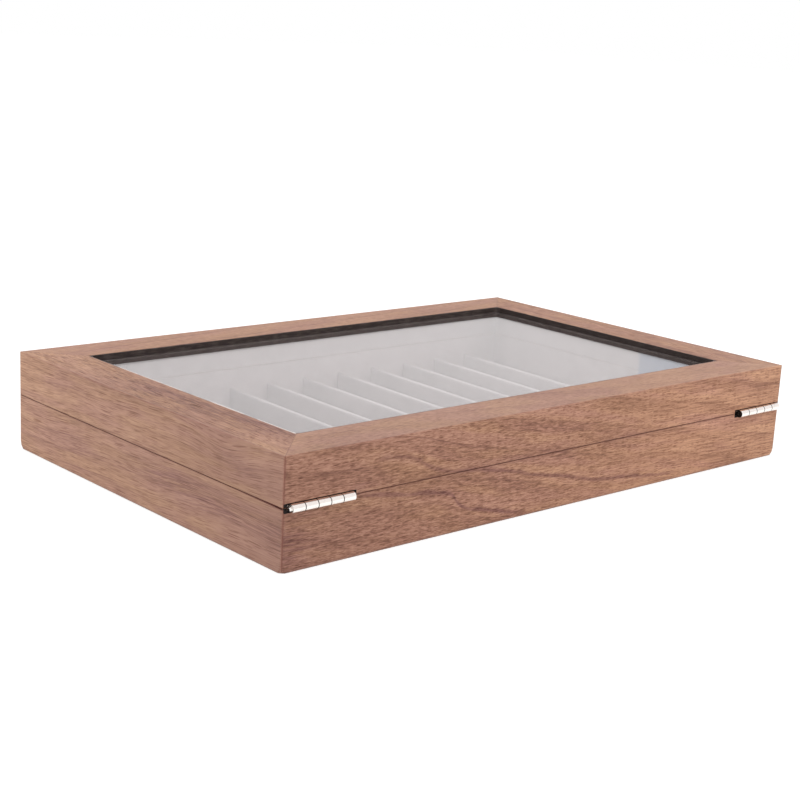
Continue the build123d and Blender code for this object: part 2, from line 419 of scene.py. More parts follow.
class Graph:
    """A shader tree being filled, with short ways to add nodes and join them."""

    def __init__(self, tree: bpy.types.NodeTree) -> None:
        """Start on a tree."""
        self.tree = tree

    def fill(self, node: bpy.types.Node, inputs: dict) -> None:
        """Link signals to a node's inputs, or set the inputs' own values.

        Args:
            node: the node.
            inputs: values or signals by input name or number. A colour may leave out its alpha.
        """
        for name, value in inputs.items():
            socket = node.inputs[name]
            if isinstance(value, Signal):
                self.tree.links.new(value.socket, socket)
            elif socket.type == "RGBA" and len(value) == 3:
                socket.default_value = (*value, 1.0)
            else:
                socket.default_value = value

    def node(self, kind: str, inputs: dict | None = None, **settings: object) -> bpy.types.Node:
        """Add a shader node.

        Args:
            kind: the node's class name after ShaderNode.
            inputs: values or signals by input name or number.
            settings: properties of the node.

        Returns:
            The node.
        """
        made = self.tree.nodes.new("ShaderNode" + kind)
        for name, value in settings.items():
            setattr(made, name, value)
        self.fill(made, inputs or {})
        return made

    def add(
        self, kind: str, inputs: dict | None = None, output: int | str = 0, **settings: object
    ) -> Signal:
        """One output of a new shader node."""
        return Signal(self, self.node(kind, inputs, **settings).outputs[output])

    def outputs(self, kind: str, inputs: dict | None = None, **settings: object) -> dict[str, Signal]:
        """All outputs of a new shader node, by name."""
        return {made.name: Signal(self, made) for made in self.node(kind, inputs, **settings).outputs}

    def math(self, operation: str, *values: object, clamp: bool = False) -> Signal:
        """The result of a Math node on the given values."""
        return self.add("Math", dict(enumerate(values)), operation=operation, use_clamp=clamp)

    def least(self, *values: object) -> Signal:
        """The smallest of several values."""
        return functools.reduce(functools.partial(self.math, "MINIMUM"), values)

    def most(self, *values: object) -> Signal:
        """The largest of several values."""
        return functools.reduce(functools.partial(self.math, "MAXIMUM"), values)

    def vector(self, x: object = 0.0, y: object = 0.0, z: object = 0.0) -> Signal:
        """A vector from its parts."""
        return self.add("CombineXYZ", {0: x, 1: y, 2: z})

    def coordinates(self) -> Signal:
        """The Object coordinates, in metres."""
        return self.add("TexCoord", output="Object")

    def noise(
        self, vector: Signal, scale: float = 1.0, detail: float = 2.0, roughness: float = 0.5
    ) -> Signal:
        """The value of a Noise Texture."""
        inputs = {"Vector": vector, "Scale": scale, "Detail": detail, "Roughness": roughness}
        return self.add("TexNoise", inputs)

    def mixed(self, share: object, first: object, second: object, blend: str = "MIX") -> Signal:
        """Two colours mixed by a share of the second."""
        return self.add("Mix", {0: share, 6: first, 7: second}, 2, data_type="RGBA", blend_type=blend)

    def dyed(self, colour: Signal, dye: object) -> Signal:
        """A colour multiplied by another."""
        return self.mixed(1.0, colour, dye, "MULTIPLY")

    def ramp(self, value: Signal, stops: Sequence[tuple[float, Colour]]) -> Signal:
        """A colour by value.

        Args:
            value: what picks the colour.
            stops: places from 0 to 1 with their colours.

        Returns:
            The colour.
        """
        made = self.node("ValToRGB", {0: value})
        elements = made.color_ramp.elements
        while len(elements) < len(stops):
            elements.new(1.0)
        for element, (place, colour) in zip(elements, stops):
            element.position = place
            element.color = (*colour, 1.0)
        return Signal(self, made.outputs[0])

    def curve(self, value: Signal, points: Sequence[tuple[float, float]]) -> Signal:
        """A smooth curve read at a value.

        Args:
            value: the place on the curve, from 0 to 1.
            points: what the curve passes through, as places and heights from 0 to 1.

        Returns:
            The curve's height.
        """
        made = self.node("FloatCurve", {"Value": value})
        knots = made.mapping.curves[0].points
        knots[0].location, knots[1].location = points[0], points[-1]
        for point in points[1:-1]:
            knots.new(*point)
        made.mapping.update()
        return Signal(self, made.outputs[0])

    def bump(self, height: Signal, distance: float, strength: float) -> Signal:
        """The normal of a Bump node."""
        return self.add("Bump", {"Height": height, "Distance": distance, "Strength": strength})


def total(values: Sequence[Signal]) -> Signal | float:
    """The sum of several signals, or 0 where there is none."""
    return functools.reduce(operator.add, values) if values else 0.0


class Group:
    """A shader node group that is built once and placed in each material that uses it.

    Its inputs are vectors, numbers and colours. Its outputs are numbers, but for one called colour.
    """

    name = ""
    vectors: tuple[str, ...] = ("vector",)
    numbers: tuple[str, ...] = ()
    colours: tuple[str, ...] = ()
    gives: tuple[str, ...] = ()

    @classmethod
    def tree(cls) -> bpy.types.NodeTree:
        """The group's tree, built at its first use.

        Returns:
            The node tree.
        """
        found = bpy.data.node_groups.get(cls.name)
        if found:
            return found
        made = bpy.data.node_groups.new(cls.name, "ShaderNodeTree")
        for kind, labels in (("Vector", cls.vectors), ("Float", cls.numbers), ("Color", cls.colours)):
            for label in labels:
                made.interface.new_socket(label, in_out="INPUT", socket_type="NodeSocket" + kind)
        for label in cls.gives:
            kind = "Color" if label == "colour" else "Float"
            made.interface.new_socket(label, in_out="OUTPUT", socket_type="NodeSocket" + kind)
        graph = Graph(made)
        entry = made.nodes.new("NodeGroupInput").outputs
        given = SimpleNamespace(**{socket.name: Signal(graph, socket) for socket in entry if socket.name})
        graph.fill(made.nodes.new("NodeGroupOutput"), cls.work(graph, given))
        return made

    @classmethod
    def work(cls, graph: Graph, given: SimpleNamespace) -> dict[str, Signal]:
        """Add the group's nodes; each kind of group has its own.

        Args:
            graph: the group's tree.
            given: the group's inputs, by name.

        Returns:
            What each output of the group is.
        """
        raise NotImplementedError

    @classmethod
    def place(cls, graph: Graph, **values: object) -> dict[str, Signal]:
        """Place the group in a material.

        Args:
            graph: the material's tree.
            values: the inputs by name.

        Returns:
            The outputs of the placed group, by name.
        """
        return graph.outputs("Group", values, node_tree=cls.tree())


class GrainSwell(Group):
    """A swelling in the trunk that bends the growth lines round it.

    The lift falls off as a bell curve of the distances along and up the board.
    """

    name = "grain swell"
    numbers = ("along", "up", "length", "height", "lift")
    gives = ("shift",)

    @classmethod
    def work(cls, graph: Graph, given: SimpleNamespace) -> dict[str, Signal]:
        """Add the bell curve's nodes.

        Args:
            graph: the group's tree.
            given: the group's inputs, by name.

        Returns:
            The shift.
        """
        x, _, z = given.vector.parts()
        along = (x - given.along) / given.length
        up = (z - given.up) / given.height
        fall = graph.math("EXPONENT", (along * along + up * up) * -1.0)
        return {"shift": fall * given.lift}

    @classmethod
    def at(cls, graph: Graph, vector: Signal, row: tuple[float, ...]) -> Signal:
        """The shift by a swelling whose numbers are given as a row."""
        return cls.place(graph, vector=vector, **dict(zip(cls.numbers, row)))["shift"]


class WalnutGrain(Group):
    """Walnut cut along the trunk, in a board's own millimetres: x along it, y inwards and z upwards.

    Growth lines are where the height across the rings, bent by a slope, swells and a slow wander, comes to a
    whole number of rings. Pigment streaks follow most of that bend, and fibres and pores follow a share of
    their own, because they run along the trunk. Pores are Voronoi cells drawn long. A stain above 0 brings
    out dark streaks, and one below 0 makes a pale patch. Lines darken by themselves. Cut names the inputs
    that a board's cut gives, and the skin is the depth over which the outer face's values give way to the
    inner ones.
    """

    name = "walnut grain"
    vectors = ("vector", "seed")
    cut = (
        *("slope", "wander", "fibre_follow", "ring_pitch", "figure", "pore_length", "long_lines"),
        *("pore_depth", "contrast", "inner_contrast", "tone", "drift", "inner_drift"),
    )
    numbers = ("swells", "stain", "lines", *cut)
    colours = ("tint", "inner_tint")
    gives = ("colour", "roughness", "height")
    tones = (
        (0.0, (0.160, 0.072, 0.048)),
        (0.28, (0.272, 0.137, 0.092)),
        (0.5, (0.405, 0.222, 0.155)),
        (0.72, (0.505, 0.296, 0.212)),
        (1.0, (0.635, 0.395, 0.295)),
    )
    warm = (1.03, 1.02, 0.95)
    cool = (0.97, 0.925, 0.97)
    purple = (0.60, 0.52, 0.60)
    open_pore = (0.58, 0.50, 0.48)
    follow = 0.85
    skin = (0.4, 1.2)

    @classmethod
    def work(cls, graph: Graph, given: SimpleNamespace) -> dict[str, Signal]:
        """Add the rings, streaks, fibres and pores.

        Args:
            graph: the group's tree.
            given: the group's inputs, by name.

        Returns:
            The colour, the roughness and the height for a bump.
        """
        seeded = given.vector.shifted(given.seed)
        x, y, z = given.vector.parts()
        wander = graph.noise(seeded.stretched(75, 30, 22), detail=1.5) - 0.5
        bend = x * given.slope + wander * given.wander + given.swells
        across = z + bend + y * 0.9

        # Late wood darkens a little towards each growth line and ends at it
        ring = graph.math("FRACT", across / given.ring_pitch)
        late = ring.smooth(0.30, 0.94)
        line = ring.smooth(0.90, 0.955) * ring.smooth(0.96, 0.99, 1.0, 0.0)
        patchy = graph.noise(seeded.stretched(42, 9, 9)).smooth(0.34, 0.66)
        figure = line * patchy * given.figure

        # Everything finer follows most of the bend, or a share of its own
        flow, fibrous = (seeded.shifted(graph.vector(z=bend * f)) for f in (cls.follow, given.fibre_follow))
        streak = graph.noise(flow.stretched(30, 4.5, 2.0), detail=4.0, roughness=0.6)
        cloud = graph.noise(flow.stretched(70, 22, 10))
        sizes = [graph.vector(given.pore_length * share, 0.8, 0.44) for share in (0.8, 3.0)]
        short, long = (graph.noise(fibrous.over(size), roughness=0.6) for size in sizes)
        fibre = graph.add("Mix", {0: x.smooth(-30.0, 110.0) * given.long_lines, 2: short, 3: long})
        veins = graph.noise(fibrous.stretched(15, 1.0, 0.55), detail=3.0).smooth(0.40, 0.60)

        # Tone and hue, with values of their own for the outer face and for what lies further in
        inner = y.smooth(*cls.skin)
        contrast = y.smooth(*cls.skin, given.contrast, given.inner_contrast)
        slant = y.smooth(*cls.skin, given.drift, given.inner_drift)
        varied = (streak - 0.5) * 0.28 + (cloud - 0.5) * 0.50 + (fibre - 0.5) * 1.50 + (late - 0.4) * -0.10
        pale = graph.least(given.stain, 0.0) * -0.09 + 1.0
        drift = x * slant + pale
        warmth = graph.noise(flow.stretched(46, 14, 6.5), detail=3.0)
        hue = (warmth - (drift - pale) * 0.8).smooth(0.36, 0.64)
        wood = graph.ramp(varied * contrast + given.tone, cls.tones)
        wood = graph.dyed(wood, graph.mixed(hue, cls.warm, cls.cool))
        wood = graph.dyed(wood, graph.mixed(inner, given.tint, given.inner_tint)).scaled(drift)
        stained = (veins * 0.75 + 0.25) * given.stain
        dark = graph.math("ADD", stained * 0.75 + figure, given.lines, clamp=True)
        wood = graph.mixed(dark, wood, graph.dyed(wood, cls.purple))

        # Two sizes of pore, open mostly in the early wood
        pores = []
        for share, width, seed in ((1.0, 0.58, 0.0), (0.55, 0.46, 31.0)):
            size = graph.vector(given.pore_length * share, width, width)
            cells = fibrous.shifted((seed, seed, seed)).over(size)
            cell = graph.outputs("TexVoronoi", {"Vector": cells, "Scale": 1.0})
            reach = cell["Color"].parts()[0].smooth(0.05, 1.0, 0.08, 0.46)
            pores.append((reach - cell["Distance"]).smooth(0.0, 0.12) * (late * -0.3 + 1.0))
        pore = graph.most(pores[0], pores[1] * 0.7) * given.pore_depth * contrast
        return {
            "colour": graph.mixed(pore, wood, graph.dyed(wood, cls.open_pore)),
            "roughness": pore * 0.16 + fibre * 0.08 + 0.47,
            "height": fibre * 0.25 - pore,
        }


class EdgeWear(Group):
    """How near a point of the closed case is to its edges, as shares from 0 to 1.

    Lengths are in millimetres. The arris share tells how near the point is to an arris, where two of its
    distances to the faces are small, so the middle one of the three distances is what counts; the walnut is
    darkened there, partly as handling wear and partly as painted shade along the edges. Mitre tells how near
    it is to a corner's glue line on the faces that lie flat, corner how near it is to an upright corner, and
    joint how near it is to the seam's outer edges, where the gap between lid and base is painted as shade.
    The joint widens by the gape towards the hinges.
    """

    name = "edge wear"
    numbers = ("half_length", "half_depth", "seam", "top", "reach", "gape")
    gives = ("wear", "mitre", "corner", "joint")

    @classmethod
    def work(cls, graph: Graph, given: SimpleNamespace) -> dict[str, Signal]:
        """Add the distances' nodes.

        Args:
            graph: the group's tree.
            given: the group's inputs, by name.

        Returns:
            The arris share, where the walnut is darkened partly as handling wear and partly as painted
            shade, and the nearness to mitre, corner and joint.
        """
        x, y, z = given.vector.parts()
        end, face = given.half_length - abs(x), given.half_depth - abs(y)
        seam = abs(z - given.seam)
        near, far = graph.least(end, face), graph.most(end, face)
        middle = graph.most(near, graph.least(far, seam, abs(z - given.top), abs(z)))
        ragged = graph.noise(given.vector.stretched(6, 6, 6), detail=3.0)
        gape = y.smooth(60.0, 96.0) * given.gape
        # Painted shade of the gap between lid and base, which widens towards the hinges
        closed = (seam - gape).smooth(0.10, 0.32, 1.0, 0.0)
        return {
            # Arris darkening: partly handling wear, partly painted shade along the edges
            "wear": graph.math("SUBTRACT", 1.0, middle / (given.reach * (ragged * 1.6 + 0.2)), clamp=True),
            "mitre": abs(end - face).smooth(0.10, 0.34, 1.0, 0.0),
            "corner": far.smooth(0.25, 0.75, 1.0, 0.0),
            "joint": closed * (gape * 1.5 + 0.55) * near.smooth(0.35, 0.6, 1.0, 0.0),
        }


class HingeNotch(Group):
    """Painted shade in the grooves that the hinge barrels lie in, which run out at the ends of the case.

    A point is painted dark within the groove's radius of the hinge axis, between the groove's two ends.
    """

    name = "hinge notch"
    numbers = ("axis_y", "axis_z", "radius", "start", "end")
    # Its one output is painted shade deep in the groove
    gives = ("stain",)

    @classmethod
    def work(cls, graph: Graph, given: SimpleNamespace) -> dict[str, Signal]:
        """Add the distance's nodes.

        Args:
            graph: the group's tree.
            given: the group's inputs, by name.

        Returns:
            The painted shade.
        """
        x, y, z = given.vector.parts()
        across, up = y - given.axis_y, z - given.axis_z
        near = graph.math("LESS_THAN", graph.math("SQRT", across * across + up * up), given.radius)
        past = graph.math("GREATER_THAN", abs(x), given.start)
        return {"stain": near * past * graph.math("LESS_THAN", abs(x), given.end)}


class ClothNap(Group):
    """Nap of suede: brushed patches where the pile lies another way, and the pile's own fine grain."""

    name = "cloth nap"
    numbers = ("patch", "pile")
    gives = ("shade", "height")

    @classmethod
    def work(cls, graph: Graph, given: SimpleNamespace) -> dict[str, Signal]:
        """Add the patches and the pile.

        Args:
            graph: the group's tree.
            given: the group's inputs, by name.

        Returns:
            The shade and the height for a bump.
        """
        brushed = graph.noise(given.vector.scaled(1.0 / given.patch), detail=3.0, roughness=0.6)
        fine = graph.noise(given.vector.scaled(1.0 / given.pile), roughness=0.7)
        return {"shade": brushed.smooth(0.3, 0.7) * 0.6 + fine * 0.4, "height": fine}


class MetalHandling(Group):
    """Faint smears and hairline scratches on plated metal."""

    name = "metal handling"
    numbers = ("smear",)
    gives = ("tarnish", "roughness", "height")

    @classmethod
    def work(cls, graph: Graph, given: SimpleNamespace) -> dict[str, Signal]:
        """Add the smears and scratches.

        Args:
            graph: the group's tree.
            given: the group's inputs, by name.

        Returns:
            The tarnish, the roughness that the marks add and the height for a bump.
        """
        smear = graph.noise(given.vector.stretched(3.0, 1.6, 1.6), detail=3.0)
        hair = graph.noise(given.vector.stretched(2.2, 0.05, 0.05))
        rough = smear.smooth(0.35, 0.75) * 0.10 + hair * 0.06
        return {"tarnish": smear.smooth(0.45, 0.75) * given.smear, "roughness": rough, "height": hair}


# Finishes


@dataclass(frozen=True)
class Finish:
    """What every finish has: a name and a way to start its material."""

    name: str

    def start(self) -> tuple[bpy.types.Material, Graph, bpy.types.Node]:
        """Begin a material.

        Returns:
            The material, its tree and its Principled BSDF.
        """
        material = bpy.data.materials.new(self.name)
        material.use_nodes = True
        return material, Graph(material.node_tree), material.node_tree.nodes["Principled BSDF"]


@dataclass(frozen=True)
class GrowthLine:
    """One dark growth line, in the board's millimetres: places along it with the line's height there."""

    points: tuple[tuple[float, float], ...]
    width: float = 0.9
    strength: float = 1.35


@dataclass(frozen=True)
class BoardCut:
    """How a side's board was cut from the trunk, in millimetres.

    The corner is how dark its upright corners are. Swells and stains are rows of a grain swell's numbers.
    """

    seed: tuple[float, float, float]
    slope: float
    wander: float
    ring_pitch: float
    pore_length: float
    fibre_follow: float = 0.85
    long_lines: float = 0.0
    figure: float = 1.0
    pore_depth: float = 0.9
    contrast: float = 1.0
    inner_contrast: float = 0.6
    tone: float = 0.5
    drift: float = 0.0
    inner_drift: float = 0.0
    tint: Colour = WHITE
    inner_tint: Colour = WHITE
    corner: float = 0.2
    swells: tuple[tuple[float, ...], ...] = ()
    stains: tuple[tuple[float, ...], ...] = ()
    lines: tuple[GrowthLine, ...] = ()

    def grain(self) -> dict[str, object]:
        """What the walnut grain group takes from the cut, by input."""
        return {name: getattr(self, name) for name in ("seed", *WalnutGrain.cut, *WalnutGrain.colours)}


@dataclass(frozen=True)
class CaseForm:
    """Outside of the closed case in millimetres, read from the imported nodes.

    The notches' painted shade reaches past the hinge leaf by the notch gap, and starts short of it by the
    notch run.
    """

    half_length: float
    half_depth: float
    seam: float
    top: float
    hinge_axis: float
    notch_radius: float
    notch_start: float
    notch_gap: float = 0.36
    notch_run: float = 2.2

    @classmethod
    def from_frame(cls) -> CaseForm:
        """Read the form from the walls, the rails and the right hinge.

        Returns:
            The form.
        """
        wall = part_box("base_back_wall")[1] / MM
        rail_low, rail_high = (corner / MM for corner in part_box("lid_back_rail"))
        axis = extent("right_hinge_pin")[1].y / MM
        leaf_low, leaf_high = (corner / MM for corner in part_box("right_hinge_base_leaf"))
        radius, start = leaf_high.y - axis + cls.notch_gap, leaf_low.x - cls.notch_run
        return cls(wall.x, wall.y, (wall.z + rail_low.z) / 2, rail_high.z, axis, radius, start)

    def outer_middle(self, side: Side) -> Vector:
        """The middle of a side's outer face, at the table and in metres."""
        return side.inward * -(self.half_depth if side.along_x else self.half_length) * MM


@dataclass(frozen=True)
class Walnut(Finish):
    """Satin-lacquered walnut, cut as one board for a side of the base and the lid.

    Stains are placed on the faces unrolled: a point's height there is its height plus its depth inwards, so
    that the top of a rail lies above its outer face.
    """

    side: Side
    cut: BoardCut
    form: CaseForm
    height_range: float = 50.0
    waver: float = 2.4
    wear_reach: float = 1.1
    wear_share: float = 0.30
    glue_share: float = 0.50
    seam_gape: float = 0.28
    notch_end: float = 0.35
    # Colour of the darkened arrises, partly handling wear and partly painted shade
    handled: Colour = (0.21, 0.10, 0.08)
    glue: Colour = (0.14, 0.055, 0.040)
    corner_stain: Colour = (0.17, 0.060, 0.042)
    # Colour of the painted shade in the seam gap between lid and base
    seam_stain: Colour = (0.12, 0.034, 0.022)
    # Colour of the painted shade deep in the hinge grooves
    notch_stain: Colour = (0.010, 0.006, 0.005)

    def drawn(self, graph: Graph, board: Signal, line: GrowthLine) -> Signal:
        """How much a growth line darkens a point.

        The line's height is a smooth curve of the place along the board. The darkening is a bell curve of
        a point's height above the line, which a noise bends and breaks up, and it fades at the line's ends.

        Args:
            graph: the material's tree.
            board: the place on the board in millimetres.
            line: the growth line.

        Returns:
            The darkening from 0 to the line's strength.
        """
        x, _, z = board.parts()
        first, length = line.points[0][0], line.points[-1][0] - line.points[0][0]
        share = graph.math("DIVIDE", x - first, length, clamp=True)
        curve = graph.curve(share, [((x - first) / length, z / self.height_range) for x, z in line.points])
        uneven = graph.noise(board.stretched(10.0, 6.0, 2.5), detail=3.0, roughness=0.6)
        away = (z - (curve * self.height_range + (uneven - 0.5) * self.waver)) / line.width
        bell = graph.math("EXPONENT", away * away * -1.0)
        ends = share.smooth(0.0, 0.12) * share.smooth(0.86, 1.0, 1.0, 0.0)
        return bell * ends * uneven.smooth(0.30, 0.60, 0.50 * line.strength, line.strength)

    def material(self) -> bpy.types.Material:
        """Build the material.

        Returns:
            The material, for a side's base wall and lid rail.
        """
        material, graph, shader = self.start()
        place = graph.coordinates()
        fine = place.scaled(1 / MM)
        centred = {
            "Vector": place,
            "Location": self.form.outer_middle(self.side),
            "Rotation": (0.0, 0.0, self.side.turn),
            "Scale": (MM, MM, MM),
        }
        board = graph.add("Mapping", centred, vector_type="TEXTURE")
        unrolled = board.shifted(graph.vector(z=board.parts()[1]))
        swells, stain = (
            total([GrainSwell.at(graph, vector, row) for row in rows])
            for vector, rows in ((board, self.cut.swells), (unrolled, self.cut.stains))
        )
        lines = total([self.drawn(graph, board, line) for line in self.cut.lines])
        placed = {"vector": board, "swells": swells, "stain": stain, "lines": lines}
        grain = WalnutGrain.place(graph, **placed, **self.cut.grain())
        edge = EdgeWear.place(
            graph,
            vector=fine,
            half_length=self.form.half_length,
            half_depth=self.form.half_depth,
            seam=self.form.seam,
            top=self.form.top,
            reach=self.wear_reach,
            gape=0.0 if self.side.along_x else self.seam_gape,
        )
        notch = HingeNotch.place(
            graph,
            vector=fine,
            axis_y=self.form.hinge_axis,
            axis_z=self.form.seam,
            radius=self.form.notch_radius,
            start=self.form.notch_start,
            end=self.form.half_length - self.notch_end,
        )
        colour = grain["colour"]
        # Mix in the darkened arrises (partly painted shade), the dark glue lines, the painted shade of the
        # seam gap and the painted shade deep in the hinge grooves
        for share, shade in (
            (edge["wear"] * self.wear_share, self.handled),
            (edge["mitre"] * self.glue_share, self.glue),
            (edge["corner"] * self.cut.corner, self.corner_stain),
            (edge["joint"], self.seam_stain),
            (notch["stain"], self.notch_stain),
        ):
            colour = graph.mixed(share, colour, shade)
        inputs = {
            "Base Color": colour,
            "Roughness": grain["roughness"],
            "Normal": graph.bump(grain["height"], *GRAIN_RELIEF),
            "Specular IOR Level": 0.32,
        }
        graph.fill(shader, inputs)
        return material


@dataclass(frozen=True)
class VeneerBoard(Finish):
    """Thin walnut-veneered board under the case, left dull."""

    cut: BoardCut

    def material(self) -> bpy.types.Material:
        """Build the material.

        Returns:
            The material.
        """
        material, graph, shader = self.start()
        lying = {"Vector": graph.coordinates(), "Rotation": (math.pi / 2, 0.0, 0.0)}
        board = graph.add("Mapping", lying).scaled(1 / MM)
        grain = WalnutGrain.place(graph, vector=board, **self.cut.grain())
        inputs = {
            "Base Color": grain["colour"],
            "Roughness": graph.math("ADD", grain["roughness"], 0.2, clamp=True),
            "Normal": graph.bump(grain["height"], *GRAIN_RELIEF),
            "Specular IOR Level": 0.25,
        }
        graph.fill(shader, inputs)
        return material


@dataclass(frozen=True)
class BlackLacquer(Finish):
    """Black-stained strip wood, whose fine grain shows through thin lacquer.

    The arris is the colour of the strip's top above the arris height, broken up in places along the edge
    that lies within a given reach of the middle of the case along X and Y, and only behind a given place
    along Y.
    On the right liner it is a painted highlight of the edge catching the light, on the back liner it is
    walnut brown, and on the bead it is a painted highlight line at the glass's edge.
    """

    colour: Colour
    rubbed: Colour
    arris: Colour
    arris_height: float
    arris_reach: tuple[float, float]
    arris_from: float = -1.0
    arris_fade: float = 7 * MM

    def material(self) -> bpy.types.Material:
        """Build the material.

        Returns:
            The material.
        """
        material, graph, shader = self.start()
        place = graph.coordinates()
        fine = place.scaled(1 / MM)
        speck = graph.noise(fine, scale=1.7, detail=3.0)
        mottle = graph.noise(fine.stretched(6.0, 6.0, 1.1), detail=3.0, roughness=0.6)
        rub = speck.smooth(0.52, 0.72) * 0.4 + mottle.smooth(0.42, 0.66) * 0.6
        parts = place.parts()
        inside = [graph.math("LESS_THAN", abs(part), reach) for part, reach in zip(parts, self.arris_reach)]
        # Where the arris colour goes: a painted highlight on the right liner and the bead, walnut brown on
        # the back liner
        pale = inside[0] * inside[1] * graph.math("GREATER_THAN", parts[2], self.arris_height)
        broken = graph.noise(fine, scale=0.07).smooth(0.36, 0.54, 0.45, 1.0)
        begun = parts[1].smooth(self.arris_from - self.arris_fade, self.arris_from + self.arris_fade)
        strip = graph.mixed(rub, self.colour, self.rubbed)
        grain = graph.noise(fine.stretched(5.0, 5.0, 0.6), detail=3.0)
        inputs = {
            "Base Color": graph.mixed(pale * broken * begun, strip, self.arris),
            "Roughness": speck * 0.3 + 0.32,
            "Normal": graph.bump(grain, *GRAIN_RELIEF),
            "Specular IOR Level": 0.22,
        }
        graph.fill(shader, inputs)
        return material


@dataclass(frozen=True)
class PaneGlass(Finish):
    """Clear float glass. Lamps and the light scattered inside the case pass straight through it."""

    index: float = 1.52

    def material(self) -> bpy.types.Material:
        """Build the material.

        Returns:
            The material.
        """
        material, graph, shader = self.start()
        fine = graph.coordinates().scaled(1 / MM)
        dust = graph.noise(fine, scale=0.9, detail=4.0, roughness=0.7).smooth(0.62, 0.85)
        inputs = {
            "Base Color": (0.992, 0.990, 0.990),
            "Roughness": dust * 0.02,
            "IOR": self.index,
            "Transmission Weight": 1.0,
        }
        graph.fill(shader, inputs)
        path = graph.outputs("LightPath")
        through = graph.most(path["Is Shadow Ray"], path["Is Diffuse Ray"])
        clear = graph.add("BsdfTransparent", {0: (0.935, 0.93, 0.93)})
        blend = graph.add("MixShader", {0: through, 1: Signal(graph, shader.outputs[0]), 2: clear})
        graph.fill(material.node_tree.nodes["Material Output"], {"Surface": blend})
        return material


@dataclass(frozen=True)
class Suede(Finish):
    """Grey suede cloth with a short brushed nap."""

    dark: Colour
    light: Colour
    # Painted highlight colour on the dividers' top round
    crown: Colour = (0.5, 0.5, 0.5)
    # Colour painted on the dividers' faces near the front end, easing their painted shade into the lining's
    # tone
    faded: Colour = (0.46, 0.41, 0.41)
    patch: float = 9.0
    pile: float = 0.35

    def material(self) -> bpy.types.Material:
        """Build the material.

        Returns:
            The material.
        """
        material, graph, shader = self.start()
        fine = graph.coordinates().scaled(1 / MM)
        nap = ClothNap.place(graph, vector=fine, patch=self.patch, pile=self.pile)
        cloth = graph.mixed(nap["shade"], self.dark, self.light)
        # Painted highlight on the dividers' top round, and their faces painted lighter near the front end
        for attribute, shade in ((FRONT_LIGHTENING, self.faded), (TOP_HIGHLIGHT, self.crown)):
            cloth = graph.mixed(graph.add("Attribute", output="Fac", attribute_name=attribute), cloth, shade)
        inputs = {
            "Base Color": cloth,
            "Roughness": nap["shade"] * 0.08 + 0.88,
            "Normal": graph.bump(nap["height"], 0.12 * MM, 0.6),
            "Specular IOR Level": 0.15,
            "Sheen Weight": 0.25,
            "Sheen Roughness": 0.45,
        }
        graph.fill(shader, inputs)
        return material


@dataclass(frozen=True)
class Plating(Finish):
    """Nickel plate with faint handling marks.

    Shaded ends darken what faces the middle of the case along X, and, up to the place of the outer end, also
    what faces away from it: painted shade on the knuckles' end faces in the gaps between them and at the
    hinge's inner end, and on the pin's inner end.
    """

    colour: Colour
    dull: Colour
    smear: float
    polish: float
    raw_ends: float = 0.0
    outer_end: float = 0.0
    # Colour of the painted shade on end faces
    raw: Colour = (0.035, 0.028, 0.024)

    def material(self) -> bpy.types.Material:
        """Build the material.

        Returns:
            The material.
        """
        material, graph, shader = self.start()
        place = graph.coordinates()
        marks = MetalHandling.place(graph, vector=place.scaled(1 / MM), smear=self.smear)
        turned = graph.add("NewGeometry", output="True Normal").parts()[0]
        along = place.parts()[0]
        outward = turned * graph.math("SIGN", along)
        between = graph.math("LESS_THAN", abs(along), self.outer_end)
        # Painted shade on end faces that lie in the gaps and holes of the hinge
        raw = graph.most(outward * -1.0, outward * between).smooth(0.10, 0.40, 0.0, self.raw_ends)
        plated = graph.mixed(marks["tarnish"], self.colour, self.dull)
        inputs = {
            "Base Color": graph.mixed(raw, plated, self.raw),
            "Roughness": marks["roughness"] + (raw * 0.4 + self.polish),
            "Normal": graph.bump(marks["height"], 0.004 * MM, 0.5),
            "Metallic": 1.0,
        }
        graph.fill(shader, inputs)
        return material


# Sub-assemblies


@dataclass
class Carcass:
    """The base's four walls and the board under them, shown as the CAD has them."""

    boards: dict[Side, bpy.types.Material]
    under: bpy.types.Material

    def build(self) -> None:
        """Dress the walls and the bottom board."""
        for side in Side:
            dress(f"base_{side.label}_wall", self.boards[side])
        dress("bottom_panel", self.under)


@dataclass
class GlazedLid:
    """The lid's rails, the black strips round the window and the pane between them."""

    boards: dict[Side, bpy.types.Material]
    liners: dict[Side, bpy.types.Material]
    bead: bpy.types.Material
    glass: bpy.types.Material

    def build(self) -> None:
        """Dress the rails, strips and pane."""
        for side in Side:
            dress(f"lid_{side.label}_rail", self.boards[side])
            dress(f"window_{side.label}_liner", self.liners[side])
            dress(f"glazing_{side.label}_bead", self.bead)
        dress("glass_pane", self.glass)


